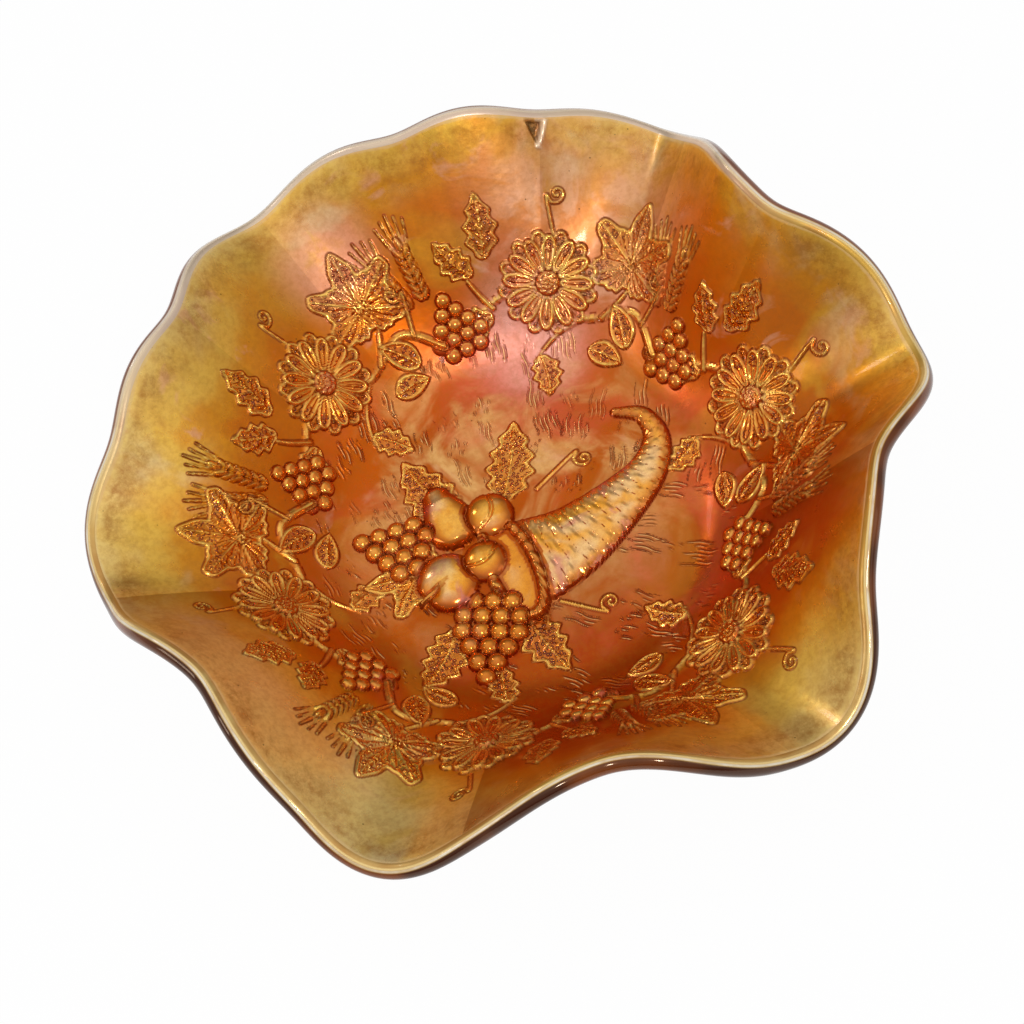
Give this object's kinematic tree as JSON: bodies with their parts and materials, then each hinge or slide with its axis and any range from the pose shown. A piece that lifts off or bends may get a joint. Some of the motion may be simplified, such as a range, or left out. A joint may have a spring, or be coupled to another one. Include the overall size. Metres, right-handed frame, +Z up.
{
  "type": "ruffled carnival glass bowl",
  "caption": "Pressed-glass bowl with a crimped, scalloped edge, wide outside panels, a relief-moulded inside and a flat ring foot.",
  "frame": {"origin": "centre of the ring foot, on the plane that the bowl stands on", "axes": "+Z up through the middle of the floor; +X along the first ridge between two outside panels"},
  "size_m": [0.2198, 0.21, 0.067],
  "materials": {
    "foot_glass": "pressed amber marigold glass, ground flat where it stands",
    "floor_glass": "deep orange iridescent lustre over moulded relief",
    "wall_glass": "marigold iridescent lustre, orange at the floor to pale gold at the edge",
    "rim_glass": "clear pale gold, fire polished"
  },
  "bodies": {
    "root": {"collar_base": "foot_glass", "bowl_floor": "floor_glass", "ruffled_wall": "wall_glass", "rim_bead": "rim_glass"}
  },
  "joints": []
}
